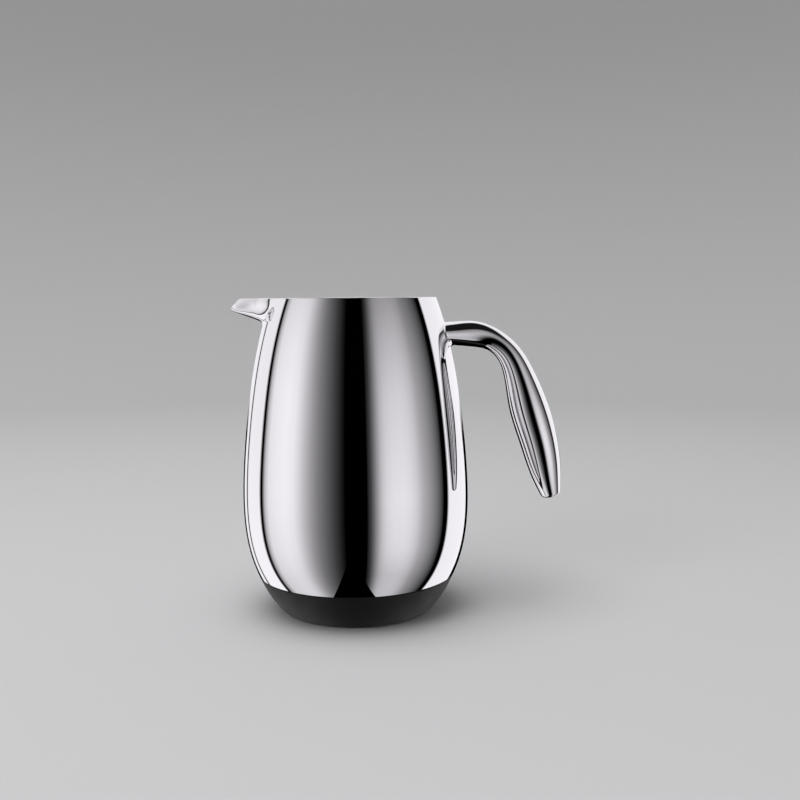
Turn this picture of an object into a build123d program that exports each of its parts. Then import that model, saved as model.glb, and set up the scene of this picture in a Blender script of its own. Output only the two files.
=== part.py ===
"""Double-walled steel serving jug: a polished egg-shaped shell round a straight liner, with a pouring
beak, a hollow handle held at its top end only, and a black base cup.

Millimetres. Z is up from the resting face, the beak points to -X and the handle to +X.
"""

import os
from math import cos, radians, sin, tan

from build123d import *

os.makedirs("parts", exist_ok=True)

# Body: the egg curve is one Bezier curve whose control points stand at even heights.
height = 190.0
seam_z = 23.0
egg_radii = (49.6, 61.6, 66.2, 66.8, 75.3, 60.4)  # control radii from the rim down to the seam
egg_reach = max(egg_radii)  # wider than the egg anywhere
shell_wall = 0.9

# Liner: a straight cylinder hung from the rim, with a vacuum gap all round it.
liner_radius = 48.0
liner_wall = 0.7
liner_floor_z = 26.0
liner_corner = 14.0
lip_height = 1.8
foil_gap = 0.4
foil_wall = 0.3
foil_low_z = 42.0
foil_high_z = 164.0

# Cap that closes the vacuum gap at the seam: a flange, then a dish sunk into the base cup.
cap_wall = 0.8
cap_flange = 1.4
cap_radius = 55.5
cap_floor_radius = 46.0
cap_floor_z = 12.0
cap_slope_z = 21.0

# Vacuum fittings on the cap's floor.
seal_x = 22.0
seal_radius = 4.0
seal_height = 1.2
port_radius = 1.5
getter_x = -20.0
getter_radius = 6.0
getter_height = 2.5
clip_sheet = 0.5
clip_width = 5.0
clip_foot = 4.0

# Beak: a V in plan with a rounded nose, a floor that rises outwards and a slant-cut mouth.
beak_half_angle = 19.0
beak_nose_x = -75.0
beak_nose_radius = 8.0
beak_floor_angle = 20.6
beak_floor_z = 183.05  # height of the floor plane under the nose
beak_floor_radius = 6.0
beak_back_x = -30.0
beak_front_x = -90.0
beak_sheet = 1.0
channel_nose_radius = 7.0
channel_floor_radius = 5.0
mouth_top_x = -68.2
mouth_angle = 47.8

# Handle: stations along its centre line from inside the shell to the free end, each with
# x, z, half thickness in the plane of the handle and half width across it.
handle_stations = (
    (50.0, 168.0, 6.5, 14.6),
    (62.0, 168.0, 7.25, 12.0),
    (73.0, 167.5, 7.75, 9.8),
    (83.0, 164.5, 7.0, 8.5),
    (93.5, 155.5, 7.4, 9.8),
    (100.0, 142.0, 9.2, 12.2),
    (105.3, 124.5, 11.5, 14.8),
    (111.8, 103.0, 11.4, 14.6),
    (116.5, 83.0, 9.3, 12.0),
    (120.0, 68.0, 5.8, 7.9),
)
handle_wall = 1.2
end_cap_thickness = 2.0
end_cap_spigot = 4.0
end_cap_edge = 1.2
tang_end_x = 72.0
tang_clearance = 0.15
plate_wall = 1.2
plate_width = 34.0
plate_height = 20.0
plate_centre_z = 167.5
plate_corner = 2.4

# Base cup and what holds it on.
gasket_height = 0.5
gasket_recess = 0.3
cup_flank = ((60.4, 23.0), (55.7, 12.4), (51.8, 6.2), (45.0, 0.0))
cup_wall = 3.2
cup_bottom_z = 0.8
cup_recess_z = 1.6
cup_floor_z = 4.0
cup_screw_hole = 6.0
cup_foot_radius = 1.5
pad_radius = 40.0
pad_clearance = 0.3
pad_edge = 0.4
carrier_disc_z = 5.8
carrier_radius = 41.0
carrier_rim = 3.0
carrier_top_gap = 0.2
carrier_hub = 9.0
carrier_window_radius = 7.0
carrier_window_circle = 23.5
carrier_windows = 6
boss_radius = 5.0
boss_low_z = 6.0
boss_clearance = 0.2
boss_hole_depth = 5.2
screw_radius = 2.0
screw_clearance = 0.05
screw_head_radius = 4.2
screw_head_height = 1.4
screw_top_z = 10.8
screw_hole = 2.3
socket_across = 3.0
socket_depth = 0.9
washer_radius = 5.6
washer_height = 0.8


def egg_curve(inset):
    """Control points (radius, height) of the egg curve, moved in by inset, from rim to seam."""
    step = (height - seam_z) / (len(egg_radii) - 1)
    return [(radius - inset, height - count * step) for count, radius in enumerate(egg_radii)]


def egg_solid(inset):
    """The whole egg as a solid, from seam to rim."""
    with BuildPart() as egg:
        with BuildSketch(Plane.XZ):
            with BuildLine():
                wall = Bezier(*egg_curve(inset))
                Polyline(wall @ 1, (0, seam_z), (0, height), wall @ 0)
            make_face()
        revolve(axis=Axis.Z)
    return egg.part


def beak_solid(inset, nose_radius, floor_radius):
    """The beak's outer form, or with an inset the channel inside it, before the mouth is cut."""
    half = radians(beak_half_angle)
    apex_x = beak_nose_x - beak_nose_radius * (1 / sin(half) - 1) + inset / sin(half)
    nose_x = apex_x + nose_radius / sin(half)
    touch = (nose_x - nose_radius * sin(half), nose_radius * cos(half))
    back_y = (beak_back_x - apex_x) * tan(half)
    slope = tan(radians(beak_floor_angle))
    floor_z = beak_floor_z + inset / cos(radians(beak_floor_angle))
    back_z = floor_z - (beak_back_x - beak_nose_x) * slope
    front_z = floor_z - (beak_front_x - beak_nose_x) * slope
    with BuildPart() as beak:
        with BuildSketch(Plane.XY.offset(back_z)):
            with BuildLine():
                ThreePointArc((touch[0], -touch[1]), (nose_x - nose_radius, 0), touch)
                Polyline(touch, (beak_back_x, back_y), (beak_back_x, -back_y), (touch[0], -touch[1]))
            make_face()
        extrude(amount=height - back_z)
        with BuildSketch(Plane.XZ):
            Polygon(
                (beak_back_x, back_z),
                (beak_back_x, height),
                (beak_front_x, height),
                (beak_front_x, front_z),
                align=None,
            )
        extrude(amount=2 * back_y, both=True, mode=Mode.INTERSECT)
        floor = beak.faces().sort_by(Axis.Z)[0]
        edges_but_back = floor.edges().sort_by(Axis.X)[:-1]
        fillet(edges_but_back, floor_radius)
    return beak.part


def handle_planes():
    """One plane for each handle station, square to the centre line there."""
    with BuildLine(Plane.XZ) as centre:
        Spline(*[(x, z) for x, z, _, _ in handle_stations])
    curve = centre.edges()[0]
    planes = []
    for x, z, _, _ in handle_stations:
        place = Vector(x, 0, z)
        along = curve.tangent_at(curve.param_at_point(place))
        planes.append(Plane(origin=place, x_dir=(0, 1, 0), z_dir=along))
    return planes


def handle_solid(inset):
    """The handle's oval form, or with an inset the hollow inside it."""
    with BuildPart() as handle:
        for plane, (_, _, half_thick, half_wide) in zip(handle_planes(), handle_stations):
            with BuildSketch(plane):
                Ellipse(half_wide - inset, half_thick - inset)
        loft()
    return handle.part


def finish(builder, name):
    """Label a finished piece and write its STEP file."""
    builder.part.label = name
    export_step(builder.part, f"parts/{name}.step")


egg = egg_solid(0)
egg_inside = egg_solid(shell_wall)
beak_form = beak_solid(0, beak_nose_radius, beak_floor_radius)
beak_channel = beak_solid(beak_sheet, channel_nose_radius, channel_floor_radius)
handle_form = handle_solid(0)
handle_hollow = handle_solid(handle_wall)
handle_end = handle_planes()[-1]

# Outer shell: drawn and polished steel, notched for the beak.
with BuildPart() as outer_shell:
    add(egg)
    add(egg_inside, mode=Mode.SUBTRACT)
    add(beak_form, mode=Mode.SUBTRACT)
finish(outer_shell, "outer_shell")

# Inner liner: straight inside, with a lip that meets the shell at the rim.
liner_outer = liner_radius + liner_wall
with BuildPart() as inner_liner:
    with BuildSketch(Plane.XY.offset(liner_floor_z - liner_wall)):
        Circle(liner_outer)
    extrude(amount=height - liner_floor_z + liner_wall)
    fillet(inner_liner.edges().sort_by(Axis.Z)[0], liner_corner + liner_wall)
    with BuildSketch(Plane.XY.offset(height - lip_height)):
        Circle(egg_reach)
    extrude(amount=lip_height)
    with BuildSketch(Plane.XZ):
        with BuildLine():
            FilletPolyline(
                (0, liner_floor_z), (liner_radius, liner_floor_z), (liner_radius, height), radius=liner_corner
            )
            Polyline((liner_radius, height), (0, height), (0, liner_floor_z))
        make_face()
    revolve(axis=Axis.Z, mode=Mode.SUBTRACT)
    add(egg_inside, mode=Mode.INTERSECT)
    add(beak_form, mode=Mode.SUBTRACT)
finish(inner_liner, "inner_liner")

# Foil wrapped round the liner in the vacuum gap.
foil_radius = liner_outer + foil_gap
with BuildPart() as liner_foil:
    with BuildSketch(Plane.XY.offset(foil_low_z)):
        Circle(foil_radius + foil_wall)
        Circle(foil_radius, mode=Mode.SUBTRACT)
    extrude(amount=foil_high_z - foil_low_z)
finish(liner_foil, "liner_foil")

# Cap welded inside the shell's lower edge: a flange in the vacuum gap, and the dish below it.
with BuildPart() as shell_bottom_cap:
    with BuildSketch(Plane.XY.offset(seam_z)):
        Circle(egg_reach)
    extrude(amount=cap_flange)
    add(egg_inside, mode=Mode.INTERSECT)
    with BuildSketch(Plane.XZ):
        Polygon(
            (0, cap_floor_z),
            (cap_floor_radius, cap_floor_z),
            (cap_radius, cap_slope_z),
            (cap_radius, seam_z),
            (0, seam_z),
            align=None,
        )
    revolve(axis=Axis.Z)
    with BuildSketch(Plane.XZ):
        Polygon(
            (0, cap_floor_z + cap_wall),
            (cap_floor_radius - cap_wall / 2, cap_floor_z + cap_wall),
            (cap_radius - cap_wall, cap_slope_z + cap_wall / 2),
            (cap_radius - cap_wall, seam_z + cap_flange),
            (0, seam_z + cap_flange),
            align=None,
        )
    revolve(axis=Axis.Z, mode=Mode.SUBTRACT)
    with BuildSketch(Plane.XY.offset(cap_floor_z)):
        with Locations((seal_x, 0)):
            Circle(port_radius)
    extrude(amount=cap_wall, mode=Mode.SUBTRACT)
finish(shell_bottom_cap, "shell_bottom_cap")

# Evacuation port, sealed from outside the cap.
with BuildPart() as evacuation_seal:
    with BuildSketch(Plane.XY.offset(cap_floor_z - seal_height)):
        with Locations((seal_x, 0)):
            Circle(seal_radius)
    extrude(amount=seal_height)
    fillet(evacuation_seal.edges().sort_by(Axis.Z)[0], seal_height / 2)
    with BuildSketch(Plane.XY.offset(cap_floor_z)):
        with Locations((seal_x, 0)):
            Circle(port_radius)
    extrude(amount=cap_wall)
finish(evacuation_seal, "evacuation_seal")

# Getter pellet and the clip that holds it on the cap's floor, inside the vacuum.
getter_z = cap_floor_z + cap_wall
with BuildPart() as getter_pellet:
    with BuildSketch(Plane.XY.offset(getter_z)):
        with Locations((getter_x, 0)):
            Circle(getter_radius)
    extrude(amount=getter_height)
    chamfer(getter_pellet.edges().sort_by(Axis.Z)[-1], clip_sheet)
finish(getter_pellet, "getter_pellet")

with BuildPart() as getter_clip:
    with BuildSketch(Plane.XZ):
        with Locations((getter_x, getter_z)):
            Rectangle(
                2 * (getter_radius + clip_sheet),
                getter_height + clip_sheet,
                align=(Align.CENTER, Align.MIN),
            )
            Rectangle(2 * (getter_radius + clip_foot), clip_sheet, align=(Align.CENTER, Align.MIN))
            Rectangle(
                2 * getter_radius, getter_height, align=(Align.CENTER, Align.MIN), mode=Mode.SUBTRACT
            )
    extrude(amount=clip_width / 2, both=True)
finish(getter_clip, "getter_clip")

# Beak: one sheet from the liner's face to the mouth, in two pieces that meet in the shell's wall.
with BuildPart() as beak_sheeting:
    add(beak_form)
    add(beak_channel, mode=Mode.SUBTRACT)
    with BuildSketch(Plane.XY):
        Circle(liner_radius)
    extrude(amount=height, mode=Mode.SUBTRACT)
    drop = tan(radians(mouth_angle))
    cut_low_x = beak_nose_x - beak_nose_radius
    with BuildSketch(Plane.XZ):
        Polygon(
            (mouth_top_x, height),
            (cut_low_x, height),
            (cut_low_x, height - (mouth_top_x - cut_low_x) * drop),
            align=None,
        )
    extrude(amount=liner_radius, both=True, mode=Mode.SUBTRACT)

with BuildPart() as spout_beak:
    add(beak_sheeting.part)
    add(egg_inside, mode=Mode.SUBTRACT)
finish(spout_beak, "spout_beak")

with BuildPart() as spout_throat:
    add(beak_sheeting.part)
    add(egg_inside, mode=Mode.INTERSECT)
finish(spout_throat, "spout_throat")

# Handle: two pressed halves that meet on the jug's middle plane, closed by a cap at the free end.
with BuildPart() as handle_shell:
    add(handle_form)
    add(handle_hollow, mode=Mode.SUBTRACT)
    add(egg, mode=Mode.SUBTRACT)
    split(bisect_by=handle_end.offset(-end_cap_thickness), keep=Keep.BOTTOM)

for name, side in (("handle_left_half", Keep.TOP), ("handle_right_half", Keep.BOTTOM)):
    with BuildPart() as handle_half:
        add(handle_shell.part)
        split(bisect_by=Plane.XZ, keep=side)
    finish(handle_half, name)

with BuildPart() as handle_spigot:
    add(handle_hollow)
    split(bisect_by=handle_end.offset(-end_cap_thickness - end_cap_spigot), keep=Keep.TOP)

with BuildPart() as handle_end_cap:
    add(handle_form)
    split(bisect_by=handle_end.offset(-end_cap_thickness), keep=Keep.TOP)
    end_face = handle_end_cap.faces().filter_by(GeomType.PLANE).sort_by(Axis.Z)[0]
    fillet(end_face.edges(), end_cap_edge)
    add(handle_spigot.part)
finish(handle_end_cap, "handle_end_cap")

# Tang inside the handle's root, and the plate behind it inside the shell.
with BuildPart() as handle_tang:
    add(handle_solid(handle_wall + tang_clearance))
    split(bisect_by=Plane.YZ.offset(tang_end_x), keep=Keep.BOTTOM)
    add(egg, mode=Mode.SUBTRACT)
finish(handle_tang, "handle_tang")

with BuildPart() as handle_backing_plate:
    with BuildSketch(Plane.YZ):
        with Locations((0, plate_centre_z)):
            RectangleRounded(plate_width, plate_height, plate_corner)
    extrude(amount=egg_reach)
    add(egg_inside, mode=Mode.INTERSECT)
    add(egg_solid(shell_wall + plate_wall), mode=Mode.SUBTRACT)
finish(handle_backing_plate, "handle_backing_plate")

# Gasket in the seam, between the shell's edge and the base cup.
with BuildPart() as base_gasket:
    with BuildSketch(Plane.XY.offset(seam_z - gasket_height)):
        Circle(egg_radii[-1] - gasket_recess)
        Circle(egg_radii[-1] - cup_wall, mode=Mode.SUBTRACT)
    extrude(amount=gasket_height)
finish(base_gasket, "base_gasket")

# Base cup: the black part of the egg, open upwards.
with BuildPart() as base_cup:
    with BuildSketch(Plane.XZ):
        with BuildLine():
            flank = Bezier(*cup_flank)
            Polyline(flank @ 1, (0, 0), (0, seam_z), flank @ 0)
        make_face()
    revolve(axis=Axis.Z)
    split(bisect_by=Plane.XY.offset(cup_bottom_z), keep=Keep.TOP)
    split(bisect_by=Plane.XY.offset(seam_z - gasket_height), keep=Keep.BOTTOM)
    fillet(base_cup.faces().sort_by(Axis.Z)[0].edges(), cup_foot_radius)
    with BuildSketch(Plane.XY):
        Circle(pad_radius + pad_clearance)
    extrude(amount=cup_recess_z, mode=Mode.SUBTRACT)
    with BuildSketch(Plane.XZ):
        with BuildLine():
            inside = Bezier(*[(radius - cup_wall, z) for radius, z in cup_flank])
            Polyline(inside @ 1, (0, 0), (0, seam_z), inside @ 0)
        make_face()
        with Locations((0, cup_floor_z)):
            Rectangle(2 * egg_reach, seam_z, align=(Align.CENTER, Align.MIN), mode=Mode.INTERSECT)
    revolve(axis=Axis.Z, mode=Mode.SUBTRACT)
    with BuildSketch(Plane.XY):
        Circle(cup_screw_hole)
    extrude(amount=seam_z, mode=Mode.SUBTRACT)
finish(base_cup, "base_cup")

# Carrier: a webbed ring that spaces the cup from the cap.
with BuildPart() as base_carrier:
    with BuildSketch(Plane.XY.offset(cup_floor_z)):
        Circle(carrier_radius)
        with PolarLocations(carrier_window_circle, carrier_windows):
            Circle(carrier_window_radius, mode=Mode.SUBTRACT)
    extrude(amount=carrier_disc_z - cup_floor_z)
    with BuildSketch(Plane.XY.offset(carrier_disc_z)):
        Circle(carrier_radius)
        Circle(carrier_radius - carrier_rim, mode=Mode.SUBTRACT)
        Circle(carrier_hub)
        Circle(boss_radius + boss_clearance, mode=Mode.SUBTRACT)
    extrude(amount=cap_floor_z - carrier_top_gap - carrier_disc_z)
    with BuildSketch(Plane.XY):
        Circle(screw_hole)
    extrude(amount=cap_floor_z, mode=Mode.SUBTRACT)
finish(base_carrier, "base_carrier")

# Boss on the cap, and the screw and washer that pull the cup up to it.
with BuildPart() as base_boss:
    with BuildSketch(Plane.XY.offset(boss_low_z)):
        Circle(boss_radius)
    extrude(amount=cap_floor_z - boss_low_z)
    with BuildSketch(Plane.XY.offset(boss_low_z)):
        Circle(screw_radius + screw_clearance)
    extrude(amount=boss_hole_depth, mode=Mode.SUBTRACT)
finish(base_boss, "base_boss")

washer_z = cup_floor_z - washer_height
with BuildPart() as base_washer:
    with BuildSketch(Plane.XY.offset(washer_z)):
        Circle(washer_radius)
        Circle(screw_hole, mode=Mode.SUBTRACT)
    extrude(amount=washer_height)
finish(base_washer, "base_washer")

with BuildPart() as base_screw:
    with BuildSketch(Plane.XY.offset(washer_z - screw_head_height)):
        Circle(screw_head_radius)
    extrude(amount=screw_head_height)
    fillet(base_screw.edges().sort_by(Axis.Z)[0], screw_head_height / 2)
    with BuildSketch(Plane.XY.offset(washer_z)):
        Circle(screw_radius)
    extrude(amount=screw_top_z - washer_z)
    with BuildSketch(Plane.XY.offset(washer_z - screw_head_height)):
        RegularPolygon(socket_across / 2, 6, major_radius=False)
    extrude(amount=socket_depth, mode=Mode.SUBTRACT)
finish(base_screw, "base_screw")

# Pad: the resting face of the whole jug.
with BuildPart() as foot_pad:
    with BuildSketch(Plane.XY):
        Circle(pad_radius)
    extrude(amount=cup_recess_z)
    fillet(foot_pad.edges().sort_by(Axis.Z)[0], pad_edge)
finish(foot_pad, "foot_pad")
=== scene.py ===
"""Looks for the double-walled steel jug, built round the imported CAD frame.

Sizes in the geometry code are millimetres and become metres when a mesh is made. Z is up, the beak
points to -X and the handle to +X. Azimuth phi is measured from the beak, about the jug's axis.
"""

import math

import bpy
import numpy as np
from mathutils import Matrix, Vector


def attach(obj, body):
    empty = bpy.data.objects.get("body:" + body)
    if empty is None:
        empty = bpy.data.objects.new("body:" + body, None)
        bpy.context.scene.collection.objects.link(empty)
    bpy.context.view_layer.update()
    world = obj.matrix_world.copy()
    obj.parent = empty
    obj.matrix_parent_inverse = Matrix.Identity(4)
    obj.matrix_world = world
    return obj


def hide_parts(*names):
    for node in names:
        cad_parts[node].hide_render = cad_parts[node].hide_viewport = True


MM = 0.001

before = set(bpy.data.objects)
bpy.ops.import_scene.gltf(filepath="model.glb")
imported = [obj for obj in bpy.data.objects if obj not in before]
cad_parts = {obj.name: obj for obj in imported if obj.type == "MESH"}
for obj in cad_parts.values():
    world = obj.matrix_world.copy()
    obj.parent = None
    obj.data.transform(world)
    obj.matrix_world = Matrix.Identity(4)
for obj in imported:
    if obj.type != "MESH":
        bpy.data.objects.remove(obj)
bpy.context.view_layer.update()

# ---------------------------------------------------------------- sizes shared with the CAD model
HEIGHT = 190.0
SEAM_Z = 23.0
EGG_RADII = (49.6, 61.6, 66.2, 66.8, 75.3, 60.4)
SHELL_WALL = 0.9
LINER_R = 48.0
LINER_WALL = 0.7
LINER_FLOOR_Z = 26.0
LINER_CORNER = 14.0
BEAK_NOSE = 75.0
BEAK_NOSE_R = 8.0
BEAK_SLOPE = math.radians(20.6)
BEAK_FLOOR_Z = 183.05
BEAK_SHEET = 1.0
MOUTH_TOP = 68.2
MOUTH_TAN = math.tan(math.radians(47.8))
HANDLE_STATIONS = (
    (50.0, 168.0, 6.5, 14.6),
    (62.0, 168.0, 7.25, 12.0),
    (73.0, 167.5, 7.75, 9.8),
    (83.0, 164.5, 7.0, 8.5),
    (93.5, 155.5, 7.4, 9.8),
    (100.0, 142.0, 9.2, 12.2),
    (105.3, 124.5, 11.5, 14.8),
    (111.8, 103.0, 11.4, 14.6),
    (116.5, 83.0, 9.3, 12.0),
    (120.0, 68.0, 5.8, 7.9),
)
HANDLE_WALL = 1.2
END_CAP = 2.0
CUP_FLANK = ((60.4, 23.0), (55.7, 12.4), (51.8, 6.2), (45.0, 0.0))
CUP_WALL = 3.2
CUP_TOP_Z = 22.5
CUP_BOTTOM_Z = 0.8
CUP_RECESS_Z = 1.6
CUP_RECESS_R = 40.3
CUP_FLOOR_Z = 4.0
CUP_HOLE_R = 6.0
CUP_FOOT_R = 1.5
PAD_R = 40.0

# ---------------------------------------------------------------- sizes of the finish only
LIP = 0.5  # the beak's lip is fully rounded
RIM_OUT = 0.4  # edge rounding of the rim, outside
RIM_IN = 0.35  # and inside
BEAK_HALF = math.radians(25.0)  # half angle between the beak's walls, at the nose
BEAK_LEAN = 0.0225  # the beak's walls bulge: they lean in by this times the square of the height
BEAK_FULL_Z = 183.0  # from their fullest level
BEAK_LEAN_REACH = 8.0  # and no further than this far above and below it
BEAK_BOW = 0.0021  # the same lengthways, from the nose towards the body
BEAK_FOLD = 12.0  # width of the rounding between the beak's walls and its floor
BEAK_FOLD_NOSE = 3.5  # its width at the nose
BEAK_FOLD_RUN = 16.0  # how far behind the nose it is at its full width
BEAK_FILLET = 8.5  # width of the fillet between the beak and the body at the rim
BEAK_FILLET_LOW = 3.0  # its width under the beak
BEAK_FILLET_Z = (176.0, 188.0)  # the heights between which it widens
BELOW_BEAK_Z = 168.0  # lower than any part of the beak
NO_BEAK = 0.7  # a wall that meets the beak nearer to the rim than this has none of it
MOUTH_EDGE = 0.8  # rounding where the beak's slanted mouth meets the level of the rim
THROAT_EDGE = 1.2  # rounding where the channel leaves the liner's bore
THROAT_SHEET = 0.95  # thickness of the throat's sheet
THROAT_TOP = HEIGHT - 0.05  # it ends just below the rim
ROOT_FILLET = 0.9  # fillet between the handle and the body, on top
ROOT_FILLET_UNDER = 1.7  # and how much wider it is underneath
CUP_EDGE = 0.35  # rounding of the cup's top edge
PAD_GROOVES = (12.0, 24.0, 34.0, 36.5)  # radii of the grooves in the foot pad
PAD_EDGE = 0.4  # rounding of the pad's lower edge


# ---------------------------------------------------------------- mesh helpers
def unit(v):
    return v / np.maximum(np.linalg.norm(v, axis=-1, keepdims=True), 1e-12)


def loft(name, segments, wrap, closed, caps=False):
    """A mesh from segments of rows: each segment is (points, normals), arrays of rows x columns x 3.

    Neighbouring segments share a row, and each keeps its own normals there, so an edge between
    two segments is crisp. wrap joins the last column to the first, closed the last row to the first.
    A row whose points coincide becomes one pole vertex.
    """
    rows, bands = [], []
    for points, normals in segments:
        first = len(rows) - 1 if rows else 0
        rows += list(points if not rows else points[1:])
        bands += [(first + k, first + k + 1, normals[k], normals[k + 1]) for k in range(len(points) - 1)]
    if closed:
        last = len(rows) - 1
        rows = rows[:last]
        bands = [(a, 0 if b == last else b, na, nb) for a, b, na, nb in bands]
    columns = rows[0].shape[0]
    verts, start, pole = [], [], []
    for row in rows:
        single = np.abs(row - row[0]).max() < 1e-9
        start.append(len(verts))
        pole.append(single)
        verts += [row[0]] if single else list(row)
    faces, normals = [], []
    steps = columns if wrap else columns - 1
    for a, b, na, nb in bands:
        for i in range(steps):
            j = (i + 1) % columns
            corners = [(a, i, na), (a, j, na), (b, j, nb), (b, i, nb)]
            if pole[a]:
                corners = [corners[0], corners[2], corners[3]]
            if pole[b]:
                corners = [corners[0], corners[1], corners[2]]
            faces.append([start[r] + (0 if pole[r] else c) for r, c, _ in corners])
            normals.append([n[c] for _, c, n in corners])
    flip = 0.0
    for face, ns in zip(faces[:: max(1, len(faces) // 997)], normals[:: max(1, len(faces) // 997)]):
        p = [verts[k] for k in face]
        flip += float(np.dot(np.cross(p[1] - p[0], p[-1] - p[0]), ns[0]))
    if flip < 0:
        faces = [f[::-1] for f in faces]
        normals = [n[::-1] for n in normals]
    if caps:
        last = len(rows) - 1
        for i in (0, columns - 1):
            for k in range((last + 1) // 2):
                quad = [start[k] + i, start[k + 1] + i, start[last - k - 1] + i, start[last - k] + i]
                if quad[1] == quad[2]:
                    quad = quad[:2] + quad[3:]
                if k + 1 > last - k - 1:
                    continue
                if (i == 0) == (flip < 0):
                    quad = quad[::-1]
                p = [verts[q] for q in quad]
                n = unit(np.cross(p[1] - p[0], p[-1] - p[0]))
                faces.append(quad)
                normals.append([n] * len(quad))
    mesh = bpy.data.meshes.new(name)
    mesh.from_pydata([tuple(v * MM) for v in verts], [], faces)
    mesh.polygons.foreach_set("use_smooth", [True] * len(faces))
    mesh.normals_split_custom_set([tuple(n) for ns in normals for n in ns])
    mesh.update()
    piece = bpy.data.objects.new(name, mesh)
    bpy.context.scene.collection.objects.link(piece)
    return piece


def grid_normals(points, wrap=False):
    """Normals of a grid of points from central differences."""
    du = np.gradient(points, axis=0)
    if wrap:
        dv = np.roll(points, -1, axis=1) - np.roll(points, 1, axis=1)
    else:
        dv = np.gradient(points, axis=1)
    return unit(np.cross(du, dv))


def revolved(name, profiles, columns, closed=True):
    """A piece turned about Z from profile runs of (radius, height); runs meet in crisp edges."""
    turn = np.linspace(0, 2 * math.pi, columns, endpoint=False)
    c, s = np.cos(turn), np.sin(turn)
    segments = []
    for run in profiles:
        run = np.asarray(run, float)
        r, z = run[:, 0:1], run[:, 1:2]
        d = np.gradient(run, axis=0)
        nr, nz = d[:, 1:2], -d[:, 0:1]
        points = np.stack([r * c, r * s, z + 0 * c], -1)
        normals = unit(np.stack([nr * c, nr * s, nz + 0 * c], -1))
        segments.append((points, normals))
    return loft(name, segments, wrap=True, closed=closed)


def arc(cx, cz, r, a0, a1, count=8):
    a = np.radians(np.linspace(a0, a1, count))
    return np.stack([cx + r * np.cos(a), cz + r * np.sin(a)], -1)


def bezier(points, count):
    t = np.linspace(0, 1, count)[:, None]
    n = len(points) - 1
    return sum(math.comb(n, i) * t**i * (1 - t) ** (n - i) * np.array(p) for i, p in enumerate(points))


def bisect(f, low, high):
    """Where f crosses from negative to positive between low and high, for whole arrays."""
    low, high = np.array(low, float), np.array(high, float)
    for _ in range(48):
        mid = (low + high) / 2
        above = f(mid) > 0
        high = np.where(above, mid, high)
        low = np.where(above, low, mid)
    return (low + high) / 2


def smin(a, b, k):
    """Smaller of a and b with a smooth hand-over k wide."""
    h = np.clip(0.5 + 0.5 * (b - a) / k, 0, 1)
    return b * (1 - h) + a * h - k * h * (1 - h)


def smax(a, b, k):
    return -smin(-a, -b, k)


def ramp(x, x0, x1, y0, y1):
    t = np.clip((x - x0) / (x1 - x0), 0, 1)
    return y0 + (y1 - y0) * t * t * (3 - 2 * t)


# ---------------------------------------------------------------- the vessel's surfaces
def egg(z):
    t = (HEIGHT - z) / (HEIGHT - SEAM_Z)
    n = len(EGG_RADII) - 1
    return sum(math.comb(n, i) * t**i * (1 - t) ** (n - i) * r for i, r in enumerate(EGG_RADII))


def egg_slope(z):
    return (egg(z + 0.01) - egg(z - 0.01)) / 0.02


def beak_distance(r, phi, z, inset):
    """How far a point lies outside the beak's form, or outside the channel inside it."""
    p = np.minimum(np.abs(phi), math.radians(60))
    x, y = r * np.cos(p), r * np.sin(p)
    ahead = x - BEAK_NOSE + BEAK_NOSE_R
    back = ahead * math.cos(BEAK_HALF) - y * math.sin(BEAK_HALF)
    flank = ahead * math.sin(BEAK_HALF) + y * math.cos(BEAK_HALF) + BEAK_BOW * back**2
    wall = np.where(back > 0, np.hypot(ahead, y), flank) - BEAK_NOSE_R + inset
    wall = wall + BEAK_LEAN * np.clip(z - BEAK_FULL_Z, -BEAK_LEAN_REACH, BEAK_LEAN_REACH) ** 2
    floor_z = BEAK_FLOOR_Z + inset / math.cos(BEAK_SLOPE)
    floor = (x - BEAK_NOSE) * math.sin(BEAK_SLOPE) + (floor_z - z) * math.cos(BEAK_SLOPE)
    fold = ramp(x, BEAK_NOSE - BEAK_FOLD_RUN, BEAK_NOSE, BEAK_FOLD, BEAK_FOLD_NOSE)
    return smax(wall, floor, fold)


def root_radius(distance, phi, z):
    """The radius at which a distance that grows with radius is zero."""
    shape = np.broadcast(phi, z).shape
    return bisect(distance, np.full(shape, 5.0), np.full(shape, 100.0))


def beak_outside(phi, z):
    return root_radius(lambda r: beak_distance(r, phi, z, 0.0), phi, z)


def channel(phi, z):
    return root_radius(lambda r: beak_distance(r, phi, z, BEAK_SHEET), phi, z)


def outside(phi, z):
    """Radius of the whole outside: the egg with the beak blended into it."""
    blend = ramp(z, *BEAK_FILLET_Z, BEAK_FILLET_LOW, BEAK_FILLET)
    return root_radius(lambda r: smin(r - egg(z), beak_distance(r, phi, z, 0.0), blend), phi, z)


def inside(phi, z):
    """Radius of the liner's bore with the channel opening out of it."""
    return smax(LINER_R + 0 * z, channel(phi, z), THROAT_EDGE)


def on_surface(radius, phi, z):
    """Points and outward normals of a surface given as radius(phi, z)."""

    def at(p, h):
        r = radius(p, h)
        return np.stack([-r * np.cos(p), r * np.sin(p), h + 0 * p], -1)

    e = 1e-4
    along = at(phi + e, z) - at(phi - e, z)
    up = at(phi, z + e) - at(phi, z - e)
    return at(phi, z), unit(np.cross(up, along))


def degrees_between(low, high, count):
    return np.radians(np.linspace(low, high, count, endpoint=False))


PHI = np.concatenate(
    [
        degrees_between(0.0, 21.0, 160),
        degrees_between(21.0, 35.0, 20),
        degrees_between(35.0, 180.0, 116),
    ]
)
PHI = np.concatenate([-PHI[:0:-1], PHI, [math.pi]])  # from just past -180 to +180
PHI = PHI[PHI > -math.pi + 1e-6]


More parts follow.
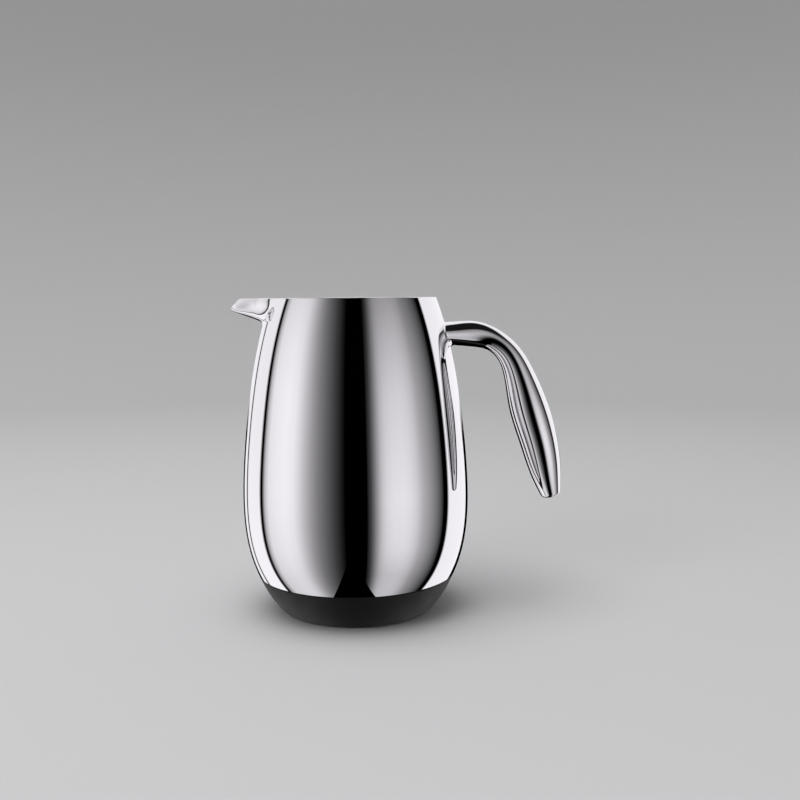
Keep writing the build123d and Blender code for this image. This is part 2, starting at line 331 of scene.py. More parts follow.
def lip_height(radius, phi, low, plane_top, mouth_drop):
    """Height at which a wall of the beak is trimmed, by the rim plane or by the slanted mouth."""
    mouth = bisect(
        lambda z: z + (radius(phi, z) * np.cos(phi) - MOUTH_TOP) * MOUTH_TAN - plane_top + mouth_drop,
        low,
        np.full_like(phi, plane_top + 12),
    )
    return smin(np.full_like(phi, plane_top), mouth, MOUTH_EDGE)


low = np.full_like(PHI, BELOW_BEAK_Z)
high = np.full_like(PHI, HEIGHT + 6)
root_out = bisect(lambda z: beak_outside(PHI, z) - egg(z), low, high)
split_in = bisect(lambda z: channel(PHI, z) - egg(z) + SHELL_WALL, low, high)
root_in = bisect(lambda z: channel(PHI, z) - LINER_R, low, high)
on_beak = root_out < HEIGHT - NO_BEAK
on_throat = root_in < HEIGHT - NO_BEAK
mouth_drop = LIP / math.cos(math.atan(MOUTH_TAN)) - LIP
lip_out = lip_height(outside, PHI, root_out, HEIGHT - LIP, mouth_drop)
lip_in = lip_height(inside, PHI, np.minimum(root_in, HEIGHT - 1), HEIGHT - LIP, mouth_drop)


def between(a, b, count, power=1.0):
    t = np.linspace(0, 1, count)[:, None] ** power
    return a + (b - a) * t


def joined(points_a, points_b, count=2):
    """A plain run of rows between two rows of points."""
    t = np.linspace(0, 1, count)[:, None, None]
    points = points_a + (points_b - points_a) * t
    du = points_b - points_a
    dv = np.gradient(points_a, axis=0)
    return points, np.broadcast_to(unit(np.cross(du, dv)), points.shape).copy()


def facing(segment, sign):
    return segment[0], sign * segment[1]


def build_shell():
    top = np.where(on_beak, root_out, HEIGHT - RIM_OUT)
    middle = np.full_like(PHI, BELOW_BEAK_Z - 4)
    low_part = between(np.full_like(PHI, SEAM_Z), middle, 52)
    high_part = between(middle, top, 64)
    z = np.concatenate([low_part, high_part[1:]])
    phi = np.broadcast_to(PHI, z.shape)
    wall = on_surface(outside, phi, z)
    rim_r = outside(PHI, np.full_like(PHI, HEIGHT - RIM_OUT))
    a = np.radians(np.linspace(0, 90, 6))[:, None]
    r = rim_r - RIM_OUT + RIM_OUT * np.cos(a)
    h = HEIGHT - RIM_OUT + RIM_OUT * np.sin(a)
    round_points = np.stack([-r * np.cos(PHI), r * np.sin(PHI), h + 0 * r], -1)
    round_normals = np.stack(
        [-np.cos(a) * np.cos(PHI), np.cos(a) * np.sin(PHI), np.sin(a) + 0 * PHI], -1
    )
    under_top = np.where(on_beak, np.minimum(root_out, HEIGHT), HEIGHT)
    under_z = between(under_top, np.full_like(PHI, SEAM_Z), 26)
    under_phi = np.broadcast_to(PHI, under_z.shape)
    under = on_surface(lambda p, q: egg(q) - SHELL_WALL + 0 * p, under_phi, under_z)
    end = wall[0][-1]
    t = np.linspace(0, 1, 6)[:, None, None]
    sunk = end + (under[0][0] - end) * t
    mask = on_beak[None, :, None]
    rim = (np.where(mask, sunk, round_points), np.where(mask, np.array([0, 0, 1.0]), round_normals))
    flat = joined(rim[0][-1], under[0][0])
    flat = (flat[0], np.broadcast_to(np.array([0, 0, 1.0]), flat[0].shape).copy())
    hem = joined(under[0][-1], wall[0][0])
    hem = (hem[0], np.broadcast_to(np.array([0, 0, -1.0]), hem[0].shape).copy())
    return loft("shell_polished", [wall, rim, flat, facing(under, -1), hem], wrap=True, closed=True)


def build_beak():
    p = PHI[on_beak]
    z_out = between(root_out[on_beak], lip_out[on_beak], 56)
    outer = on_surface(outside, np.broadcast_to(p, z_out.shape), z_out)
    z_in = between(lip_in[on_beak], np.minimum(split_in[on_beak], lip_in[on_beak] - 0.3), 56)
    inner = on_surface(inside, np.broadcast_to(p, z_in.shape), z_in)
    a, b = outer[0][-1], inner[0][0]
    centre, arm = (a + b) / 2, (a - b) / 2
    along = np.gradient(centre, axis=0)
    up = unit(np.cross(along, arm))
    up *= np.where(up[:, 2:3] < 0, -1.0, 1.0)
    size = np.minimum(np.linalg.norm(arm, axis=-1, keepdims=True), LIP)
    turn = np.radians(np.linspace(0, 180, 11))[:, None, None]
    lip_points = centre + arm * np.cos(turn) + up * size * np.sin(turn)
    lip = (lip_points, unit(arm / size * np.cos(turn) + up * np.sin(turn)))
    back = joined(inner[0][-1], outer[0][0])
    return loft("beak_polished", [outer, lip, facing(inner, -1), back], wrap=False, closed=True, caps=True)


def build_throat():
    p = PHI[on_throat]
    top = np.minimum(split_in[on_throat], THROAT_TOP)
    z = between(np.minimum(root_in[on_throat], top - 0.2), top, 40)
    face = on_surface(inside, np.broadcast_to(p, z.shape), z)
    back = (face[0] + face[1] * THROAT_SHEET, face[1])
    back[0][..., 2] = np.minimum(back[0][..., 2], THROAT_TOP)
    face_side = facing(face, -1)
    over = joined(face[0][-1], back[0][-1])
    back = (back[0][::-1], back[1][::-1])
    under = joined(back[0][-1], face[0][0])
    return loft("throat_satin", [face_side, over, back, under], wrap=False, closed=True, caps=True)


def build_liner():
    top = np.where(on_throat, root_in, HEIGHT - RIM_IN)
    corner_r, corner_z = LINER_R - LINER_CORNER, LINER_FLOOR_Z + LINER_CORNER
    middle, bottom_z = np.full_like(PHI, BELOW_BEAK_Z - 8), np.full_like(PHI, corner_z)
    z = np.concatenate([between(top, middle, 30), between(middle, bottom_z, 12)[1:]])
    bore = on_surface(inside, np.broadcast_to(PHI, z.shape), z)

    def turned(run, sign):
        run = np.asarray(run, float)
        r, h = run[:, 0:1], run[:, 1:2]
        d = np.gradient(run, axis=0)
        points = np.stack([-r * np.cos(PHI), r * np.sin(PHI), h + 0 * PHI], -1)
        normals = np.stack([-d[:, 1:2] * np.cos(PHI), d[:, 1:2] * np.sin(PHI), -d[:, 0:1] + 0 * PHI], -1)
        return points, sign * unit(normals)

    ball = arc(corner_r, corner_z, LINER_CORNER, 0, -90, 16)
    floor = np.stack([np.linspace(corner_r, 0, 10), np.full(10, LINER_FLOOR_Z)], -1)
    inner = turned(np.concatenate([ball, floor[1:]]), 1)
    bottom = LINER_FLOOR_Z - LINER_WALL
    under_floor = np.stack([np.linspace(0, corner_r, 6), np.full(6, bottom)], -1)
    under_ball = arc(corner_r, corner_z, LINER_CORNER + LINER_WALL, -90, 0, 12)
    under = turned(np.concatenate([under_floor, under_ball[1:]]), 1)
    outer_r = LINER_R + LINER_WALL
    wall_top = np.where(on_throat, root_in - 0.3, HEIGHT)
    wall_z = between(corner_z + 0 * PHI, wall_top, 14)
    wall = on_surface(lambda p, q: outer_r + 0 * p * q, np.broadcast_to(PHI, wall_z.shape), wall_z)
    a = np.radians(np.linspace(90, 180, 6))[:, None]
    r = LINER_R + RIM_IN + RIM_IN * np.cos(a)
    h = HEIGHT - RIM_IN + RIM_IN * np.sin(a)
    round_points = np.stack([-r * np.cos(PHI), r * np.sin(PHI), h + 0 * PHI], -1)
    round_normals = np.stack([-np.cos(a) * np.cos(PHI), np.cos(a) * np.sin(PHI), np.sin(a) + 0 * PHI], -1)
    start, end = wall[0][-1], bore[0][0]
    t = np.linspace(0.3, 1, 6)[:, None, None]
    mask = on_throat[None, :, None]
    rim = (
        np.where(mask, start + (end - start) * t, round_points),
        np.where(mask, np.array([0, 0, 1.0]), round_normals),
    )
    flat = joined(start, rim[0][0])
    flat = (flat[0], np.broadcast_to(np.array([0, 0, 1.0]), flat[0].shape).copy())
    return loft(
        "liner_satin", [under, wall, flat, rim, facing(bore, -1), inner], wrap=True, closed=False
    )


# ---------------------------------------------------------------- the handle
def cubic(knots, values):
    """A natural cubic spline through values at knots."""
    n = len(knots)
    h = np.diff(knots)
    m = np.zeros((n, n))
    rhs = np.zeros((n,) + values.shape[1:])
    m[0, 0] = m[-1, -1] = 1
    for i in range(1, n - 1):
        m[i, i - 1 : i + 2] = h[i - 1], 2 * (h[i - 1] + h[i]), h[i]
        rhs[i] = 6 * ((values[i + 1] - values[i]) / h[i] - (values[i] - values[i - 1]) / h[i - 1])
    second = np.linalg.solve(m, rhs)

    def at(s):
        i = np.clip(np.searchsorted(knots, s) - 1, 0, n - 2)
        w = (s - knots[i])[..., None]
        g = h[i][..., None]
        u = g - w
        return (
            second[i] * u**3 / (6 * g)
            + second[i + 1] * w**3 / (6 * g)
            + (values[i] / g - second[i] * g / 6) * u
            + (values[i + 1] / g - second[i + 1] * g / 6) * w
        )

    return at


stations = np.array(HANDLE_STATIONS)
chords = np.concatenate([[0], np.cumsum(np.hypot(*np.diff(stations[:, :2], axis=0).T))])
handle_line = cubic(chords, stations)
HANDLE_LENGTH = chords[-1]


def handle_point(s, theta, inset=0.0):
    """A point of the handle's skin: s along the centre line, theta round it from its outer side."""
    x, z, thick, wide = np.moveaxis(handle_line(s), -1, 0)
    ahead, behind = handle_line(s + 0.05), handle_line(s - 0.05)
    tx, tz = ahead[..., 0] - behind[..., 0], ahead[..., 1] - behind[..., 1]
    size = np.hypot(tx, tz)
    nx, nz = -tz / size, tx / size
    across = (thick - inset) * np.cos(theta)
    return np.stack([x + across * nx, (wide - inset) * np.sin(theta) + 0 * x, z + across * nz], -1)


def handle_skin(theta):
    """The handle's skin for each theta, root fillet first and then the tube, and its inner face."""

    def outside_body(s):
        q = handle_point(s, theta)
        return np.hypot(q[..., 0], q[..., 1]) - egg(q[..., 2])

    root = bisect(outside_body, np.zeros_like(theta), np.full_like(theta, 30.0))
    base = handle_point(root, theta)
    fillet = ROOT_FILLET + ROOT_FILLET_UNDER * ((1 - np.cos(theta)) / 2) ** 2
    r = np.hypot(base[:, 0], base[:, 1])
    normal = unit(np.stack([base[:, 0] / r, base[:, 1] / r, -egg_slope(base[:, 2])], -1))
    out = unit(base - handle_point(root, theta, inset=3.0))
    out = unit(out - np.sum(out * normal, -1, keepdims=True) * normal)
    columns = []
    for t in np.radians(np.linspace(90, 0, 11)):
        foot = base + out * (fillet * (1 - math.cos(t)))[:, None]
        foot[:, :2] *= (egg(foot[:, 2]) / np.hypot(foot[:, 0], foot[:, 1]))[:, None]
        columns.append(handle_point(root + fillet * (1 - math.sin(t)), theta) + foot - base)
    start = root + fillet
    stop = HANDLE_LENGTH - END_CAP
    for u in np.linspace(0, 1, 171)[1:]:
        columns.append(handle_point(start + (stop - start) * u, theta))
    skin = np.stack(columns, 1)
    inner = [handle_point(root + 0.1 * k, theta, HANDLE_WALL) for k in range(11)]
    inner_start = root + 1.0
    for u in np.linspace(0, 1, 171)[1:]:
        inner.append(handle_point(inner_start + (stop - inner_start) * u, theta, HANDLE_WALL))
    return skin, np.stack(inner, 1)


def build_handle_half(name, side):
    theta = np.linspace(0, math.pi, 49) * side
    ghost = np.concatenate([[-theta[1]], theta, [2 * theta[-1] - theta[-2]]])
    skin, inner = handle_skin(ghost)
    normals = grid_normals(skin)
    x, y = skin[:, 0, 0], skin[:, 0, 1]
    r = np.hypot(x, y)
    sign = np.sign(np.sum(normals[1:-1, 60] * (skin[1:-1, 60] - inner[1:-1, 60]), -1).sum())
    normals = normals * sign
    normals[:, 0] = unit(np.stack([x / r, y / r, -egg_slope(skin[:, 0, 2])], -1))
    inner_normals = grid_normals(inner)
    inner_normals *= -np.sign(np.sum(inner_normals[1:-1, 60] * (skin[1:-1, 60] - inner[1:-1, 60]), -1).sum())
    skin, inner = skin[1:-1], inner[1:-1]
    skin_side = (skin, normals[1:-1])
    inner_side = (inner[::-1], inner_normals[1:-1][::-1])
    flat = np.array([0, -side * 1.0, 0])
    seam_a = joined(skin[-1], inner[-1])
    seam_b = joined(inner[0], skin[0])
    seam_a = (seam_a[0], np.broadcast_to(flat, seam_a[0].shape).copy())
    seam_b = (seam_b[0], np.broadcast_to(flat, seam_b[0].shape).copy())
    return loft(name, [skin_side, seam_a, inner_side, seam_b], wrap=False, closed=True, caps=True)


def build_end_cap():
    theta = np.linspace(0, 2 * math.pi, 96, endpoint=False)
    stop = HANDLE_LENGTH - END_CAP
    straight, edge, crown = 0.2, 1.6, 0.2

    def ring(depth, inset, scale=1.0):
        s = np.full_like(theta, stop + depth)
        outer = handle_point(s, theta, inset)
        middle = handle_point(s, theta, 0.0).mean(axis=0)
        return middle + (outer - middle) * scale

    side = [ring(d, 0.0) for d in (0.0, straight)]
    turns = np.radians(np.linspace(0, 84, 10))[1:]
    rounding = [ring(straight + edge * math.sin(a), edge * (1 - math.cos(a))) for a in turns]
    shares = (0.96, 0.9, 0.8, 0.65, 0.5, 0.35, 0.2, 0.1, 0.0)
    face = [ring(straight + edge + crown * (1 - k * k), edge * 0.9, k) for k in shares]
    skin = np.stack(side + rounding + face)
    skin[-1] = skin[-1].mean(axis=0)
    normals = grid_normals(skin, wrap=True)
    middle = skin[0].mean(axis=0)
    normals *= np.sign(np.sum(normals[0] * (skin[0] - middle), -1).sum())
    along = unit(skin[-1][0] - middle)
    normals[-1] = along
    back_rows = np.stack([np.broadcast_to(middle, skin[0].shape), skin[0]])
    back = (back_rows, np.broadcast_to(-along, back_rows.shape).copy())
    return loft("handle_end_cap_polished", [back, (skin, normals)], wrap=True, closed=False)


# ---------------------------------------------------------------- the base
def build_cup():
    flank = bezier(CUP_FLANK, 400)
    tangent = unit(np.gradient(flank, axis=0))
    inward = np.stack([tangent[:, 1], -tangent[:, 0]], -1)
    inward *= np.where(inward[:, 0:1] > 0, -1.0, 1.0)

    def corner(height, radius, sign):
        centres = flank + inward * radius
        k = int(np.argmin(np.abs(centres[:, 1] - (height + sign * radius))))
        angle = math.degrees(math.atan2(-inward[k, 1], -inward[k, 0]))
        return k, centres[k], angle

    k_top, top_centre, top_angle = corner(CUP_TOP_Z, CUP_EDGE, -1)
    k_foot, foot_centre, foot_angle = corner(CUP_BOTTOM_Z, CUP_FOOT_R, 1)
    outside_run = np.concatenate(
        [
            arc(*top_centre, CUP_EDGE, 90, top_angle, 7),
            flank[k_top + 1 : k_foot : 6],
            arc(*foot_centre, CUP_FOOT_R, foot_angle, -90, 9),
        ]
    )
    inner = bezier([(r - CUP_WALL, z) for r, z in CUP_FLANK], 200)
    inner = inner[(inner[:, 1] <= CUP_TOP_Z) & (inner[:, 1] >= CUP_FLOOR_Z)][::-1]
    top_in, floor_in = inner[-1, 0], inner[0, 0]
    runs = [
        outside_run,
        [(foot_centre[0], CUP_BOTTOM_Z), (CUP_RECESS_R + 0.3, CUP_BOTTOM_Z)],
        [(CUP_RECESS_R + 0.3, CUP_BOTTOM_Z), (CUP_RECESS_R, CUP_BOTTOM_Z + 0.3)],
        [(CUP_RECESS_R, CUP_BOTTOM_Z + 0.3), (CUP_RECESS_R, CUP_RECESS_Z)],
        [(CUP_RECESS_R, CUP_RECESS_Z), (CUP_HOLE_R, CUP_RECESS_Z)],
        [(CUP_HOLE_R, CUP_RECESS_Z), (CUP_HOLE_R, CUP_FLOOR_Z)],
        [(CUP_HOLE_R, CUP_FLOOR_Z), (floor_in, CUP_FLOOR_Z)],
        np.concatenate([[(floor_in, CUP_FLOOR_Z)], inner[1::8], [(top_in, CUP_TOP_Z)]]),
        [(top_in, CUP_TOP_Z), tuple(outside_run[0])],
    ]
    return revolved("base_cup_black", runs, 256)


def build_pad():
    top, groove_w, groove_d = CUP_RECESS_Z - 0.02, 0.6, 0.25
    bottom = [(0.0, 0.0)]
    for r in PAD_GROOVES:
        for across, depth in ((-1.0, 0.0), (-0.6, groove_d), (0.6, groove_d), (1.0, 0.0)):
            bottom.append((r + across * groove_w, depth))
    bottom.append((PAD_R - PAD_EDGE, 0.0))
    runs = [[bottom[k], bottom[k + 1]] for k in range(len(bottom) - 1)]
    runs.append(arc(PAD_R - PAD_EDGE, PAD_EDGE, PAD_EDGE, -90, 0, 6))
    runs.append([(PAD_R, PAD_EDGE), (PAD_R, top)])
    runs.append([(PAD_R, top), (0.0, top)])
    return revolved("foot_pad_rubber", runs, 160, closed=False)


# ---------------------------------------------------------------- materials
def node_material(name):
    material = bpy.data.materials.new(name)
    material.use_nodes = True
    tree = material.node_tree
    shader = tree.nodes["Principled BSDF"]
    return material, tree, shader


def link(tree, a, b):
    tree.links.new(a, b)


def math_node(tree, operation, a, b=None):
    node = tree.nodes.new("ShaderNodeMath")
    node.operation = operation
    for socket, value in zip(node.inputs, (a, b)):
        if value is None:
            continue
        if isinstance(value, (int, float)):
            socket.default_value = value
        else:
            link(tree, value, socket)
    return node.outputs[0]


def noise(tree, vector, scale, detail=3.0):
    node = tree.nodes.new("ShaderNodeTexNoise")
    node.inputs["Scale"].default_value = scale
    node.inputs["Detail"].default_value = detail
    link(tree, vector, node.inputs["Vector"])
    return node.outputs["Fac"]


def remap(tree, value, low, high, to_low, to_high):
    node = tree.nodes.new("ShaderNodeMapRange")
    node.inputs["From Min"].default_value = low
    node.inputs["From Max"].default_value = high
    node.inputs["To Min"].default_value = to_low
    node.inputs["To Max"].default_value = to_high
    link(tree, value, node.inputs["Value"])
    return node.outputs["Result"]


def bump(tree, height, shader, distance, strength=1.0):
    node = tree.nodes.new("ShaderNodeBump")
    node.inputs["Distance"].default_value = distance
    node.inputs["Strength"].default_value = strength
    link(tree, height, node.inputs["Height"])
    link(tree, node.outputs["Normal"], shader.inputs["Normal"])


def position(tree):
    return tree.nodes.new("ShaderNodeTexCoord").outputs["Object"]


def polished_steel():
    material, tree, shader = node_material("polished_steel")
    shader.inputs["Base Color"].default_value = (0.80, 0.797, 0.81, 1)
    shader.inputs["Metallic"].default_value = 1.0
    cloud = noise(tree, position(tree), 45.0, 2.0)
    link(tree, remap(tree, cloud, 0.3, 0.7, 0.018, 0.034), shader.inputs["Roughness"])
    return material


def turned_coordinates(tree, round_scale):
    """Coordinates that run fast along radius and height and slowly round the axis."""
    split = tree.nodes.new("ShaderNodeSeparateXYZ")
    link(tree, position(tree), split.inputs[0])
    x, y, z = split.outputs
    xx, yy = math_node(tree, "MULTIPLY", x, x), math_node(tree, "MULTIPLY", y, y)
    radius = math_node(tree, "SQRT", math_node(tree, "ADD", xx, yy))
    angle = math_node(tree, "ARCTAN2", y, x)
    join = tree.nodes.new("ShaderNodeCombineXYZ")
    link(tree, radius, join.inputs[0])
    link(tree, math_node(tree, "MULTIPLY", angle, round_scale), join.inputs[1])
    link(tree, z, join.inputs[2])
    return join.outputs[0]


def satin_steel(name, colour, rough_low, rough_high, line_scale):
    """Steel brushed round the axis, as a turned part is."""
    material, tree, shader = node_material(name)
    shader.inputs["Metallic"].default_value = 1.0
    lines = noise(tree, turned_coordinates(tree, 0.0004), line_scale, 4.0)
    link(tree, remap(tree, lines, 0.25, 0.75, rough_low, rough_high), shader.inputs["Roughness"])
    shade = tree.nodes.new("ShaderNodeMix")
    shade.data_type = "RGBA"
    link(tree, lines, shade.inputs["Factor"])
    shade.inputs["A"].default_value = tuple(0.88 * c for c in colour) + (1,)
    shade.inputs["B"].default_value = colour + (1,)
    link(tree, shade.outputs["Result"], shader.inputs["Base Color"])
    bump(tree, lines, shader, 0.00003, 0.35)
    return material


def grainy(name, colour, rough_low, rough_high, scale, depth, metallic=0.0, specular=0.5):
    """A surface with a fine even grain: moulded plastic, rubber, sintered metal."""
    material, tree, shader = node_material(name)
    shader.inputs["Base Color"].default_value = colour + (1,)
    shader.inputs["Metallic"].default_value = metallic
    shader.inputs["Specular IOR Level"].default_value = specular
    where = position(tree)
    grain = noise(tree, where, scale, 2.0)
    broad = noise(tree, where, 60.0, 2.0)
    link(tree, remap(tree, broad, 0.3, 0.7, rough_low, rough_high), shader.inputs["Roughness"])
    bump(tree, grain, shader, depth, 0.5)
    return material


def foil():
    material, tree, shader = node_material("aluminium_foil")
    shader.inputs["Base Color"].default_value = (0.84, 0.84, 0.85, 1)
    shader.inputs["Metallic"].default_value = 1.0
    where = position(tree)
    crease = tree.nodes.new("ShaderNodeTexVoronoi")
    crease.inputs["Scale"].default_value = 55.0
    link(tree, where, crease.inputs["Vector"])
    link(tree, remap(tree, noise(tree, where, 80.0), 0.3, 0.7, 0.16, 0.3), shader.inputs["Roughness"])
    bump(tree, crease.outputs["Distance"], shader, 0.0006, 0.6)
    return material


def dress(piece, material):
    piece.data.materials.clear()
    piece.data.materials.append(material)


# ---------------------------------------------------------------- build the pieces
steel = polished_steel()
satin = satin_steel("satin_steel", (0.70, 0.70, 0.71), 0.2, 0.34, 2600.0)
black = grainy("black_plastic", (0.012, 0.012, 0.013), 0.5, 0.6, 2400.0, 0.00004, specular=0.25)
rubber = grainy("black_rubber", (0.02, 0.02, 0.02), 0.72, 0.85, 1500.0, 0.00008, specular=0.3)

PIECES = (
    (build_shell(), "outer_shell", "polished_steel", steel),
    (build_beak(), "spout_beak", "polished_steel", steel),
    (build_throat(), "spout_throat", "satin_steel", satin),
    (build_liner(), "inner_liner", "satin_steel", satin),
    (build_handle_half("handle_left_polished", -1), "handle_left_half", "polished_steel", steel),
    (build_handle_half("handle_right_polished", 1), "handle_right_half", "polished_steel", steel),
    (build_end_cap(), "handle_end_cap", "polished_steel", steel),
    (build_cup(), "base_cup", "black_plastic", black),
    (build_pad(), "foot_pad", "black_rubber", rubber),
)
for piece, node, slot, material in PIECES:
    dress(piece, material)
    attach(piece, "root")
    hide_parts(node)

turned = satin_steel("turned_steel", (0.62, 0.62, 0.63), 0.26, 0.4, 1800.0)
CARRIED = {
    "liner_foil": foil(),
    "shell_bottom_cap": satin_steel("pressed_steel", (0.66, 0.66, 0.67), 0.3, 0.45, 900.0),
    "evacuation_seal": grainy("dull_solder", (0.5, 0.5, 0.52), 0.35, 0.55, 300.0, 0.0001, metallic=1.0),
    "getter_pellet": grainy("sintered_metal", (0.24, 0.24, 0.25), 0.6, 0.8, 1800.0, 0.0002, metallic=0.9),
    "getter_clip": turned,
    "handle_tang": turned,
    "handle_backing_plate": turned,
    "base_gasket": rubber,
    "base_carrier": grainy("carrier_plastic", (0.045, 0.045, 0.045), 0.4, 0.5, 1200.0, 0.00005),
    "base_boss": turned,
    "base_washer": turned,
    "base_screw": turned,
}
for node, material in CARRIED.items():
    dress(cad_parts[node], material)

# ---------------------------------------------------------------- studio
WALL_R = 3.0  # radius of the wall of light cards, in metres
CARD_Z = 0.1  # height of the cards' horizon
LOW = 70.0  # the cards reach this many degrees below their horizon
HIGH = 52.0  # and this many above it


def stage_mesh(name, verts, faces, material):
    mesh = bpy.data.meshes.new(name)
    mesh.from_pydata(verts, [], faces)
    mesh.polygons.foreach_set("use_smooth", [True] * len(faces))
    thing = bpy.data.objects.new(name, mesh)
    bpy.context.scene.collection.objects.link(thing)
    thing.data.materials.append(material)
    return thing


def full_turn(steps):
    return np.linspace(0, 2 * math.pi, steps, endpoint=False)


def only_reflected(thing):
    thing.visible_camera = False
    thing.visible_diffuse = False
    thing.visible_shadow = False
    thing.visible_transmission = False


def glow_material(name, level):
    """Plain emission, seen only in reflections. level is a number, or None to be linked later."""
    material = bpy.data.materials.new(name)
    material.use_nodes = True
    tree = material.node_tree
    tree.nodes.clear()
    out = tree.nodes.new("ShaderNodeOutputMaterial")
    glow = tree.nodes.new("ShaderNodeEmission")
    link(tree, glow.outputs[0], out.inputs["Surface"])
    glow.inputs["Color"].default_value = (0.99, 0.967, 1.0, 1)
    if level is not None:
        glow.inputs["Strength"].default_value = level
    return material, tree, glow


def card(name, stops, tall):
    """A curved light card round the jug, seen only in reflections.

    stops are (azimuth in degrees, level): 0 is towards the camera, plus is towards the handle.
    tall are (elevation in degrees, share of the level).
    """
    azimuths = [a for a, _ in stops]
    elevations = [e for e, _ in tall]
    material, tree, glow = glow_material(name, None)
    split = tree.nodes.new("ShaderNodeSeparateXYZ")
    link(tree, position(tree), split.inputs[0])
    x, y, z = split.outputs
    middle = (azimuths[0] + azimuths[-1]) / 2
    c, s = math.cos(math.radians(middle)), math.sin(math.radians(middle))
    along = math_node(tree, "ADD", math_node(tree, "MULTIPLY", x, s), math_node(tree, "MULTIPLY", y, -c))
    across = math_node(tree, "ADD", math_node(tree, "MULTIPLY", x, c), math_node(tree, "MULTIPLY", y, s))
    turn = math_node(tree, "ARCTAN2", across, along)
    height = math_node(tree, "SUBTRACT", z, CARD_Z)
    rise = math_node(tree, "ARCTANGENT", math_node(tree, "DIVIDE", height, WALL_R))

    def graded(value, points, shift):
        low, high = points[0][0] - shift, points[-1][0] - shift
        t = remap(tree, value, math.radians(low), math.radians(high), 0.0, 1.0)
        node = tree.nodes.new("ShaderNodeValToRGB")
        node.color_ramp.interpolation = "LINEAR"
        stops_in = node.color_ramp.elements
        while len(stops_in) < len(points):
            stops_in.new(0.5)
        for element, (angle, _) in zip(stops_in, points):
            element.position = (angle - shift - low) / (high - low)
        for element, (_, share) in zip(stops_in, points):
            element.color = (share, share, share, 1)
        link(tree, t, node.inputs[0])
        return node.outputs[0]

    level = math_node(tree, "MULTIPLY", graded(turn, stops, middle), graded(rise, tall, 0.0))
    link(tree, level, glow.inputs["Strength"])
    verts, faces = [], []
    steps, levels = 48, 24
    for j in range(levels + 1):
        elevation = math.radians(elevations[0] + (elevations[-1] - elevations[0]) * j / levels)
        for i in range(steps + 1):
            a = math.radians(azimuths[0] + (azimuths[-1] - azimuths[0]) * i / steps)
            height = CARD_Z + WALL_R * math.tan(elevation)
            verts.append((WALL_R * math.sin(a), -WALL_R * math.cos(a), height))
    for j in range(levels):
        for i in range(steps):
            k = j * (steps + 1) + i
            faces.append((k, k + 1, k + steps + 2, k + steps + 1))
    only_reflected(stage_mesh(name, verts, faces, material))


card(
    "key_left",
    ((-104, 0.0), (-100, 0.6), (-94, 0.98), (-84, 1.06), (-72, 1.11), (-62, 1.04), (-56, 0.86), (-49, 0.61),
     (-42, 0.4), (-35, 0.25), (-27, 0.14), (-19, 0.06), (-12, 0.015), (-8, 0.0)),
    ((-LOW, 0.72), (-42, 0.8), (-26, 0.92), (-8, 1.0), (8, 1.0), (20, 0.92), (34, 0.78), (43, 0.6),
     (HIGH, 0.02)),
)
card(
    "key_right",
    ((13, 0.0), (17, 0.06), (20, 0.17), (24, 0.4), (28, 0.65), (33, 0.82), (40, 0.9), (50, 0.92), (57, 0.87),
     (64, 0.74), (72, 0.5), (80, 0.36), (88, 0.22), (95, 0.1), (100, 0.0)),
    ((-LOW, 0.7), (-43, 0.72), (-26, 0.97), (-8, 1.07), (0, 1.0), (10, 0.88), (20, 0.7), (34, 0.47),
     (43, 0.36), (HIGH, 0.02)),
)


def dark_room():
    """Black behind and between the light cards."""
    material, _, _ = glow_material("dark_room", 0.0)
    steps, radius, reach = 72, 1.05 * WALL_R, 1.2 * WALL_R * math.tan(math.radians(LOW))
    verts = []
    for z in (-reach, reach):
        verts += [(radius * math.cos(a), radius * math.sin(a), z) for a in full_turn(steps)]
    faces = [(i, (i + 1) % steps, steps + (i + 1) % steps, steps + i) for i in range(steps)]
    only_reflected(stage_mesh("dark_room", verts, faces, material))


dark_room()
card(
    "back_left",
    ((-138, 0.85), (-134, 1.03), (-110, 1.05), (-107, 0.0)),
    ((-LOW, 1.1), (-20, 1.08), (0, 1.0), (44, 0.93), (HIGH, 0.05)),
)
card("back_right", ((106, 0.0), (109, 1.08), (152, 1.1)), ((-LOW, 1.0), (0, 1.0), (44, 0.93), (HIGH, 0.05)))
card("back_edge", ((208, 1.0), (216, 1.08), (219, 0.5)), ((-LOW, 1.0), (0, 1.0), (44, 0.93), (HIGH, 0.05)))
card("rear", ((152, 1.08), (180, 1.0), (208, 1.0)), ((-6, 0.0), (-3, 1.0), (46, 1.0), (HIGH, 0.0)))


def flat_card(name, height, radius, level):
    material, _, _ = glow_material(name, level)
    ring = [(radius * math.cos(a), radius * math.sin(a), height) for a in np.radians(np.arange(0, 360, 10))]
    only_reflected(stage_mesh(name, ring, [tuple(range(len(ring)))], material))


flat_card("top_card", CARD_Z + WALL_R * math.tan(math.radians(HIGH)), WALL_R, 0.01)
flat_card("low_card", CARD_Z - WALL_R * math.tan(math.radians(LOW)), WALL_R, 0.02)


def dark_strip():
    """The dark gap between the lights, where it runs in under the front of the jug."""
    material, _, _ = glow_material("dark_strip", 0.0)
    right = [(0.12, -1.42), (0.2, -0.82), (0.29, -0.39), (0.36, 0.0)]
    left = [(-0.38, 0.0), (-0.33, -0.38), (-0.28, -0.82), (-0.2, -1.42)]
    verts = [(x, y, -0.9) for x, y in right + left]
    only_reflected(stage_mesh("dark_strip", verts, [tuple(range(len(verts)))], material))


dark_strip()


